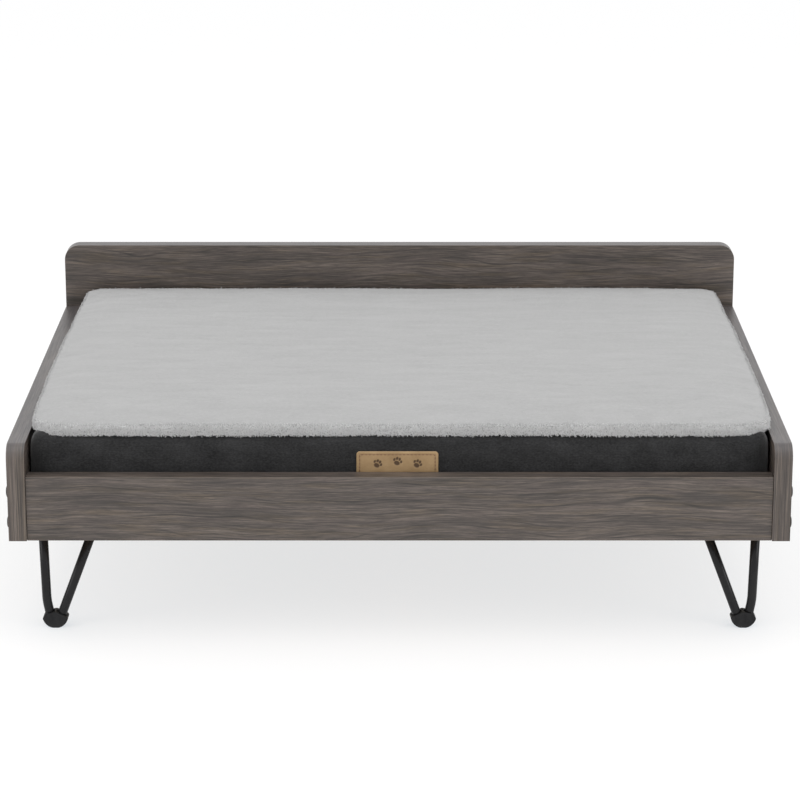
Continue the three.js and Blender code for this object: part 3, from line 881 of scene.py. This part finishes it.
def swell(piece, voxel, limit, held):
    """Remeshes a soft form evenly and lets cloth under pressure round it out.

    No point moves further than limit. Points for which held is true stay where they are.
    """
    skin = piece.modifiers.new("skin", "REMESH")
    skin.mode = "VOXEL"
    skin.voxel_size = voxel
    applied(piece)
    start = np.array([v.co for v in piece.data.vertices])
    cloth = piece.modifiers.new("swell", "CLOTH")
    cloth.settings.quality = 4
    cloth.settings.use_pressure = True
    cloth.settings.uniform_pressure_force = CLOTH_PRESSURE
    cloth.settings.effector_weights.gravity = 0
    cloth.point_cache.frame_start = 1
    cloth.point_cache.frame_end = CLOTH_FRAMES
    group = piece.vertex_groups.new(name="held")
    group.add([i for i, point in enumerate(start) if held(point)], 1.0, "REPLACE")
    cloth.settings.vertex_group_mass = "held"
    scene = bpy.context.scene
    for step in range(CLOTH_FRAMES):
        scene.frame_set(step + 1)
    shaped = piece.evaluated_get(bpy.context.evaluated_depsgraph_get()).data
    end = np.array([v.co for v in shaped.vertices])
    piece.modifiers.clear()
    piece.vertex_groups.clear()
    scene.frame_set(1)
    shift = end - start
    size = np.linalg.norm(shift, axis=1, keepdims=True)
    soft = limit * np.tanh(size / limit)
    result = start + shift * soft / np.maximum(size, 1e-9)
    piece.data.vertices.foreach_set("co", result.astype(np.float32).ravel())
    piece.data.update()


def subdivided(piece):
    """Splits every face of a piece in four, smoothly."""
    finer = piece.modifiers.new("finer", "SUBSURF")
    finer.levels = 1
    applied(piece)


def displaced(piece, height):
    """Moves each point along its normal by height(point, normal)."""
    for vertex, normal in zip(piece.data.vertices, [v.normal.copy() for v in piece.data.vertices]):
        vertex.co = vertex.co + normal * height(vertex.co, normal)
    piece.data.update()


def cover(material):
    """The charcoal cover: foam-filled sides that swell a little between crisp seams."""
    low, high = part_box("mattress_side_band")
    sewn_on = [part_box("leather_patch"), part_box("zip_tape")]
    ends_out, play, top_out, edge = 3.6 * MM, 0.3 * MM, 2.5 * MM, 2.5 * MM
    seam_reach = 3 * MM  # behind and in front of what is sewn on
    resting, border = 3 * MM, 30 * MM  # held above the base, and free round the top
    piece = slab(
        "mattress_cover",
        high.x + ends_out,
        low.y + play,
        high.y - play,
        COVER_CORNERS,
        low.z + play,
        high.z + top_out,
        edge,
    )

    def sewn(point):
        """1 behind the patch and the zip, fading to 0 a little way off."""
        x, y, z = point
        best = 0.0
        for near, far in sewn_on:
            gap = max(near.x - x, x - far.x, near.z - z, z - far.z)
            gap = max(gap, near.y - seam_reach - y, y - far.y - seam_reach)
            best = max(best, min(1.0, 1 - gap / SEAM_FADE))
        return best

    def held(point):
        """The base, the middle of the top, and the cloth behind what is sewn on."""
        x, y, z = point
        inside = abs(x) < high.x - border and low.y + border < y < high.y - border
        return z < low.z + resting or (z > high.z and inside) or sewn(point) > 0.7

    swell(piece, voxel=7 * MM, limit=2.6 * MM, held=held)
    subdivided(piece)
    for vertex in piece.data.vertices:
        x, y, z = vertex.co
        rise = max(0.0, (z - low.z) / (high.z - low.z)) ** 3
        near_side = clamp(1 - (high.x - abs(x)) / EAR_LENGTH)
        near_end = clamp(1 - min(y - low.y, high.y - y) / EAR_LENGTH)
        vertex.co.z = z + EAR_HEIGHT * rise * near_side * near_end

    def creases(point, normal):
        """Soft dents where the foam's corners have pulled the cloth."""
        folds = noise.noise(Vector((point.x * 13, point.y * 13, point.z * 22)))
        ripples = noise.noise(Vector((point.x * 45, point.y * 45, point.z * 30 + 5)))
        upright = 1 - abs(normal.z)
        return upright * (1 - sewn(point)) * (0.9 * folds + 0.25 * ripples - 0.3) * MM

    displaced(piece, creases)
    piece.data.materials.append(material)
    finish_piece(piece, "mattress", "charcoal_cloth", "mattress_side_band", "foam_core")


def plush_top(material):
    """The plush pad: thick at the rear, pressed thinner along its front edge."""
    low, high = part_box("plush_top")
    ends_out, front_in, rear_out = 3.5 * MM, 1.5 * MM, 9.5 * MM
    base_in, top_out, edge, resting = 0.2 * MM, 1.5 * MM, 5 * MM, 3 * MM
    piece = slab(
        "plush_pad",
        high.x + ends_out,
        low.y + front_in,
        high.y + rear_out,
        PLUSH_CORNERS,
        low.z + base_in,
        high.z + top_out,
        edge,
    )
    swell(piece, voxel=5.8 * MM, limit=2.8 * MM, held=lambda point: point[2] < low.z + resting)
    subdivided(piece)
    middle, half = (low.y + high.y) / 2, (high.y - low.y) / 2
    for vertex in piece.data.vertices:
        x, y, z = vertex.co
        along = min(1.0, abs((y - middle + BULGE_AHEAD) / (half + BULGE_AHEAD)))
        rise = clamp((z - low.z) / (high.z - low.z))
        from_front = clamp((y - low.y) / SAG_LENGTH)
        from_side = clamp((high.x - abs(x)) / SAG_LENGTH)
        from_rear = clamp((high.y - y) / SAG_LENGTH)
        sag = (1 - from_front) ** 2 + 0.12 * (1 - from_side) ** 3
        vertex.co.x = x * (1 + PLUSH_BULGE / high.x * (1 - along**2)) + PLUSH_SHIFT
        vertex.co.z = z + (PLUSH_LIFT * (1 - from_rear) ** 2 - PLUSH_SAG * sag) * rise

    def pile(point, normal):
        """Streaks and hollows on the flat top, clumps and waves over the rolled edge."""
        strokes = noise.noise(Vector((point.x * 30, point.y * 95, point.z * 60)))
        clumps = noise.noise(Vector((point.x * 160, point.y * 230, point.z * 230)))
        roll = 1 - abs(normal.z)
        waves = noise.noise(Vector((point.x * 16, point.y * 16, 4.0)))
        hollows = noise.noise(Vector((point.x * 9, point.y * 14, 1.0)))
        height = strokes * 0.35 + hollows * 1.0 * (1 - roll) + clumps * (0.15 + 0.5 * roll)
        return (height + waves * roll * 1.4) * MM

    displaced(piece, pile)
    piece.data.materials.append(material)
    finish_piece(piece, "mattress", "grey_plush", "plush_top")
    return piece


def locks(draw, roots, normals, roll):
    """Curled locks of pile, one on each root: vertices and faces of bent, round-tipped cones.

    roll is 0 where the pad is flat, where the locks are short, and 1 on its upright edge.
    """
    count = len(roots)

    def unit(vectors):
        """The same directions, each of length 1."""
        return vectors / np.linalg.norm(vectors, axis=1, keepdims=True)

    comb = np.zeros((count, 3))
    comb[:, 2] = -0.35 * roll
    loose = draw.normal(0, 0.8, (count, 3))
    loose -= normals * (loose * normals).sum(1, keepdims=True)
    way = unit(normals * (0.25 + 0.55 * roll)[:, None] + loose + comb)
    side = unit(np.cross(normals + draw.normal(0, 0.3, (count, 3)), way))
    other = np.cross(way, side)
    size = (0.4 + 0.6 * roll)[:, None]
    length = draw.uniform(1.8, 3.2, (count, 1)) * MM * size
    width = draw.uniform(0.35, 0.55, (count, 1)) * MM * size
    hook = draw.uniform(1.0, 2.6, (count, 1))
    rings = []
    for share, thick in ((0.0, 0.9), (0.6, 1.0)):
        bend = hook * share
        middle = roots + length * (np.sin(bend) / hook * way + (1 - np.cos(bend)) / hook * side)
        for turn in range(3):
            angle = turn * 2 * math.pi / 3
            reach = math.cos(angle) * side + math.sin(angle) * other
            rings.append(middle + width * thick * reach)
    tip = roots + length * (np.sin(hook) / hook * way + (1 - np.cos(hook)) / hook * side)
    vertices = np.stack(rings + [tip], axis=1).reshape(-1, 3)
    pattern = [(2, 1, 0)]
    for turn in range(3):
        after = (turn + 1) % 3
        pattern.append((turn, after, 3 + after))
        pattern.append((turn, 3 + after, 3 + turn))
        pattern.append((3 + turn, 3 + after, 6))
    starts = 7 * np.arange(count)[:, None, None]
    faces = (np.array(pattern)[None] + starts).reshape(-1, 3)
    return vertices.tolist(), faces.tolist()


def fringe(pad, material):
    """Curled pile over the pad's rolled edge: a piece along each side, and two along the long ones."""
    mesh = pad.data
    centres = np.array([p.center for p in mesh.polygons])
    normals = np.array([p.normal for p in mesh.polygons])
    areas = np.array([p.area for p in mesh.polygons])
    roll = np.clip((0.975 - normals[:, 2]) / 0.55, 0, 1)
    outward = normals[:, 2] > -0.8
    low, high = centres.min(0), centres.max(0)
    gaps = np.stack([
        centres[:, 1] - low[1],
        high[1] - centres[:, 1],
        centres[:, 0] - low[0],
        high[0] - centres[:, 0],
    ])
    nearest = gaps.argmin(0)
    thinning = np.clip(1 - gaps.min(0) / FRINGE_FADE, 0, 1) ** 2
    sides = ["front", "rear", "left", "right"]
    for number, place_name in enumerate(sides + ["front_upper", "rear_upper"]):
        draw = np.random.default_rng(20 + number)
        here = nearest == sides.index(place_name.split("_")[0])
        weight = areas * (roll**0.8 + 0.4 * thinning) * outward * here
        chosen = draw.choice(len(centres), LOCKS, p=weight / weight.sum())
        scatter = draw.uniform(-1.8, 1.8, (LOCKS, 3)) * MM
        scatter -= normals[chosen] * (scatter * normals[chosen]).sum(1, keepdims=True)
        roots = centres[chosen] + scatter - normals[chosen] * 0.4 * MM
        vertices, faces = locks(draw, roots, normals[chosen], roll[chosen])
        piece = mesh_piece("plush_fringe_" + place_name, vertices, faces, material)
        finish_piece(piece, "mattress", "grey_plush")


def base_cloth(material):
    """The cloth under the mattress: thin, flat, and rounded along its edge."""
    low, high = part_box("mattress_base_cloth")
    inset = 1.5 * MM
    half = high.x - inset
    middle_y = (low.y + high.y) / 2
    step = 6 * MM
    outline = rounded_outline(half, low.y + inset, high.y - inset, COVER_CORNERS, step, 6)
    profile = [
        (0.01, 0.15),
        (0.9, 0.1),
        (0.985, 0.0),
        (1.0, 0.5),
        (0.985, 1.0),
        (0.9, 0.9),
        (0.01, 0.9),
    ]
    rings = []
    for reach, height in profile:
        z = low.z + height * (high.z - low.z)
        rings.append([(x * reach, middle_y + (y - middle_y) * reach, z) for x, y in outline])
    shape = rings_to_mesh(rings)
    piece = solid("base_cloth", shape, material, "mattress", "black_cloth", "mattress_base_cloth")


# ---- patch


def paw_depth(x, z, middle, turn):
    """1 inside a small paw print, fading to 0 across its edge."""
    dx, dz = x - middle[0], z - middle[1]
    u = dx * math.cos(turn) + dz * math.sin(turn)
    v = -dx * math.sin(turn) + dz * math.cos(turn)
    pads = [(0, -1.6, 2.9, 2.3)]  # middle and radii, mm: the palm, then two toes on each side
    for side in (-1, 1):
        pads += [(side * 3.6, 1.0, 1.15, 1.6), (side * 1.35, 3.0, 1.2, 1.75)]
    best = 0.0
    for pad_u, pad_v, radius_u, radius_v in pads:
        reach = math.hypot((u / MM - pad_u) / radius_u, (v / MM - pad_v) / radius_v)
        best = max(best, clamp((1.12 - reach) / 0.24))
    return best


def from_border(x, z, middle, width, height, corner):
    """Distance inwards from the outline of a rectangle with round corners."""
    dx, dz = width / 2 - abs(x - middle.x), height / 2 - abs(z - middle.z)
    if dx < corner and dz < corner:
        return corner - math.hypot(corner - dx, corner - dz)
    return min(dx, dz)


def patch(material, stitch_material):
    """A leather patch with a sewn border and three pressed paw prints."""
    low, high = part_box("leather_patch")
    width, height = high.x - low.x, high.z - low.z
    middle = (low + high) / 2
    cell, corner, seam = 0.5 * MM, 3 * MM, 3.2 * MM
    print_depth, groove_depth, groove_reach = 0.35 * MM, 0.25 * MM, 0.8 * MM
    edge_fall, edge_reach, rim_reach, rim_tone = 0.7 * MM, 1.2 * MM, 0.9 * MM, 0.7
    corner_pull = 1.4  # draws the grid's corner points in to the round outline
    paws = [
        ((middle.x - 20 * MM, high.z - 13 * MM), -0.5),
        ((middle.x, high.z - 10.5 * MM), -0.35),
        ((middle.x + 20 * MM, high.z - 13 * MM), -0.5),
    ]
    columns, rows = round(width / cell), round(height / cell)
    vertices, pressed, rim = [], [], []
    for row in range(rows + 1):
        for column in range(columns + 1):
            x = low.x + column / columns * width
            z = low.z + row / rows * height
            inside = from_border(x, z, middle, width, height, corner)
            if inside < 0:
                pull = Vector((x - middle.x, z - middle.z)).normalized() * inside
                x, z = x + pull.x * corner_pull, z + pull.y * corner_pull
            paw = max(paw_depth(x, z, spot, turn) for spot, turn in paws)
            groove = max(0.0, 1 - abs(inside - seam) / groove_reach)
            fall = max(0.0, 1 - max(inside, 0) / edge_reach)
            y = low.y + print_depth * paw + groove_depth * groove + edge_fall * fall**2
            vertices.append((x, y, z))
            pressed.append(min(1.0, 0.95 * paw + 0.3 * groove))
            rim.append(rim_tone * max(0.0, 1 - max(inside, 0) / rim_reach))
    across = columns + 1
    faces = []
    for row in range(rows):
        for column in range(columns):
            first = row * across + column
            faces.append((first, first + 1, first + across + 1, first + across))
    loop = list(range(across))
    loop += [row * across + columns for row in range(1, rows + 1)]
    loop += [rows * across + column for column in range(columns - 1, -1, -1)]
    loop += [row * across for row in range(rows - 1, 0, -1)]
    start, count = len(vertices), len(loop)
    vertices += [(vertices[index][0], high.y, vertices[index][2]) for index in loop]
    pressed += [0.0] * count
    rim += [rim_tone] * count
    for step in range(count):
        after = (step + 1) % count
        faces.append((loop[after], loop[step], start + step, start + after))
    faces.append(tuple(range(start, start + count)))
    shape = (vertices, faces)
    piece = solid("patch", shape, material, "mattress", "tan_leather", "leather_patch")
    for name, values in (("pressed", pressed), ("rim", rim)):
        attribute = piece.data.attributes.new(name, "FLOAT", "POINT")
        attribute.data.foreach_set("value", values)
    half_x, half_z = width / 2 - seam, height / 2 - seam
    outline = rounded_outline(half_x, -half_z, half_z, (MM, MM), 1 * MM, 3)
    route = [Vector((x + middle.x, low.y + 0.1 * MM, z + middle.z)) for x, z in outline]
    stitches = joined(stitch_row(route, 2.3 * MM, 1.5 * MM, 0.38 * MM))
    solid("patch_stitches", stitches, stitch_material, "mattress", "tan_leather")


def stitch_row(route, length, gap, radius):
    """Short raised stitches along a closed route."""
    lengths = [0.0]
    closed = route + route[:1]
    for a, b in zip(closed, closed[1:]):
        lengths.append(lengths[-1] + (b - a).length)
    total = lengths[-1]
    count = max(1, round(total / (length + gap)))

    def at(distance):
        """The point a distance along the route."""
        distance %= total
        index = next(i for i in range(len(lengths) - 1) if lengths[i + 1] >= distance)
        share = (distance - lengths[index]) / max(lengths[index + 1] - lengths[index], 1e-9)
        return closed[index].lerp(closed[index + 1], share)

    outward = Vector((0, -1, 0))
    profile = [(0.0, 0.15), (0.12, 0.75), (0.4, 1.0), (0.6, 1.0), (0.88, 0.75), (1.0, 0.15)]
    parts = []
    for number in range(count):
        start = number * total / count
        a, b = at(start), at(start + length)
        side = (b - a).normalized().cross(outward)
        rings = []
        for share, thick in profile:
            middle = a.lerp(b, share) + outward * radius * 0.5 * math.sin(math.pi * share)
            rings.append(circle(middle, side, outward, radius * thick, 8))
        parts.append(rings_to_mesh(rings))
    return parts


# ---- zip


def box_shape(low, high):
    """A plain box between two corners."""
    corners = [(low[0], low[1]), (high[0], low[1]), (high[0], high[1]), (low[0], high[1])]
    return rings_to_mesh([[(x, y, z) for x, y in corners] for z in (low[2], high[2])])


def zip_fastener(cloth, teeth_material, metal_material):
    """Two tapes and their teeth, with a slider and its pull, on the back of the cover."""
    low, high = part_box("zip_tape")
    middle = (low.z + high.z) / 2
    tape_width, tape_gap, end_margin = 12 * MM, 0.4 * MM, 3 * MM
    tooth, pitch = 0.9 * MM, 1.5 * MM
    root, tip = 2.4 * MM, 0.8 * MM  # how far a tooth reaches on its own side and across the middle
    tapes = []
    for side in (-1, 1):
        bottom, top = sorted((middle + side * tape_width, middle + side * tape_gap))
        tapes.append(box_shape((low.x, low.y, bottom), (high.x, high.y - 0.3 * MM, top)))
    tape = solid("zip_tapes", joined(tapes), cloth, "mattress", "black_cloth", "zip_tape")
    hem = tape.modifiers.new("hem", "BEVEL")
    hem.width = 0.25 * MM
    hem.segments = 2
    teeth = []
    for number in range(int((high.x - low.x - 2 * end_margin) / pitch)):
        x = low.x + end_margin + number * pitch
        side = 1 if number % 2 else -1
        bottom, top = sorted((middle - side * tip, middle + side * root))
        near, far = (x, high.y - 0.5 * MM, bottom), (x + tooth, high.y + 0.25 * MM, top)
        teeth.append(box_shape(near, far))
    solid("zip_teeth", joined(teeth), teeth_material, "mattress", "black_cloth")
    repaint(NODES["zip_slider"], metal_material)
    soften(NODES["zip_slider"], 0.5 * MM, 3)
    zip_pull(metal_material)


def zip_pull(material):
    """The slider's tab: narrower in the middle, with a slot near its free end."""
    low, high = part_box("zip_pull")
    length, half = high.x - low.x, (high.z - low.z) / 2
    middle = (low + high) / 2
    steps = 24

    def outline(reach, width, start):
        """Points round a long rounded shape, from its free end towards the hinge."""
        points = []
        for step in range(steps):
            turn = 2 * math.pi * step / steps
            x = start + reach * (1 - math.cos(turn)) / 2
            z = width * math.copysign(abs(math.sin(turn)) ** 0.6, math.sin(turn))
            points.append((low.x + x, middle.z + z))
        return points

    def waist(x):
        """The share of its full width that the tab has at x."""
        return 1 - 0.22 * math.exp(-(((x - low.x) / length - 0.62) / 0.16) ** 2)

    tab = [(x, middle.z + (z - middle.z) * waist(x)) for x, z in outline(length, half, 0.0)]
    slot = outline(0.34 * length, 0.42 * half, 0.13 * length)
    count = len(tab)
    vertices = []
    for y in (low.y, high.y):
        vertices += [(x, y, z) for x, z in tab + slot]
    faces = []
    for step in range(count):
        after = (step + 1) % count
        back = 2 * count
        faces.append((step, after, count + after, count + step))
        faces.append((back + after, back + step, back + count + step, back + count + after))
        faces.append((after, step, back + step, back + after))
        faces.append((count + step, count + after, back + count + after, back + count + step))
    piece = mesh_piece("zip_tab", vertices, faces, material)
    outward_faces(piece)
    soften(piece, 0.25 * MM, 2)
    finish_piece(piece, "zip_pull", "zinc", "zip_pull")


# ---- scene


def floor():
    """A pale floor whose own glow and colour keep the shadow under the bed neutral."""
    size = 30.0
    vertices = [(-size, -size, 0), (size, -size, 0), (size, size, 0), (-size, size, 0)]
    piece = mesh_piece("floor", vertices, [(0, 1, 2, 3)])
    material = bpy.data.materials.new("floor")
    material.use_nodes = True
    tree = material.node_tree
    shader = tree.nodes["Principled BSDF"]
    shader.inputs["Base Color"].default_value = color(0.385, 0.345, 0.31)
    shader.inputs["Roughness"].default_value = 0.9
    shader.inputs["Specular IOR Level"].default_value = 0.0
    shader.inputs["Emission Color"].default_value = color(0.875, 0.940, 1.0)
    shader.inputs["Emission Strength"].default_value = 0.667
    piece.data.materials.append(material)


def studio():
    """An even white world, with three large soft lamps aimed at the bed."""
    aim = Vector((0, 0, 0.15))
    world = bpy.data.worlds.new("studio")
    world.use_nodes = True
    background = world.node_tree.nodes["Background"]
    background.inputs["Color"].default_value = color(1, 1, 1)
    background.inputs["Strength"].default_value = 1.05
    bpy.context.scene.world = world
    for name, position, size, power in (
        ("key", (0.0, -0.6, 2.6), 2.2, 14),
        ("left", (-2.2, -1.2, 1.1), 1.0, 8),
        ("right", (2.2, -1.2, 1.1), 1.0, 8),
    ):
        light = bpy.data.lights.new(name, "AREA")
        light.size = size
        light.energy = power
        lamp = bpy.data.objects.new(name, light)
        bpy.context.scene.collection.objects.link(lamp)
        lamp.location = position
        lamp.rotation_euler = (aim - Vector(position)).to_track_quat("-Z", "Y").to_euler()


def camera():
    """Looks at the front of the bed from a little above, as the photo does."""
    data = bpy.data.cameras.new("camera")
    data.lens = CAMERA_LENS
    data.sensor_width = 36
    data.clip_end = 100
    shot = new_object("camera", data)
    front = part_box("side_panel_left")[0].y
    shot.location = (CAMERA_SIDE, front - CAMERA_DISTANCE, CAMERA_HEIGHT)
    shot.rotation_euler = (math.radians(90 - CAMERA_PITCH), 0, 0)
    bpy.context.scene.camera = shot
    bpy.context.scene.view_settings.view_transform = "Standard"


camera()
studio()
floor()
boards()
base()
zinc = metal("zinc_plate", (0.42, 0.42, 0.40), (0.62, 0.62, 0.60), 0.35)
nickel = metal("nickel_zip", (0.16, 0.155, 0.15), (0.30, 0.29, 0.28), 0.3)
bronze = metal("bronzed_steel", (0.010, 0.008, 0.007), (0.040, 0.031, 0.024), 0.4, 0.0, 0.15)
frame_bolts(bronze)
leg_screws(zinc)
barrel_nuts(zinc)
legs()
charcoal = woven("charcoal_cloth", (0.006, 0.006, 0.0063), (0.037, 0.037, 0.038), 0.8 * MM, fuzz=1.15)
black = woven("black_cloth", (0.006, 0.006, 0.006), (0.018, 0.018, 0.018), 0.7 * MM)
pile = plush("grey_plush", 0.376)
# painted light: the fringe's locks get a copy of the pile almost twice as pale, making up for the
# shade among them, with painted shade along the top through upper
painted_light_tips = plush("grey_plush_tips", 0.73, upper=0.58)
cover(charcoal)
pad = plush_top(pile)
fringe(pad, painted_light_tips)
base_cloth(black)
patch(leather(), thread("patch_thread", (0.11, 0.045, 0.022), (0.22, 0.10, 0.05)))
zip_fastener(black, thread("zip_teeth", (0.02, 0.02, 0.02), (0.05, 0.05, 0.05)), nickel)
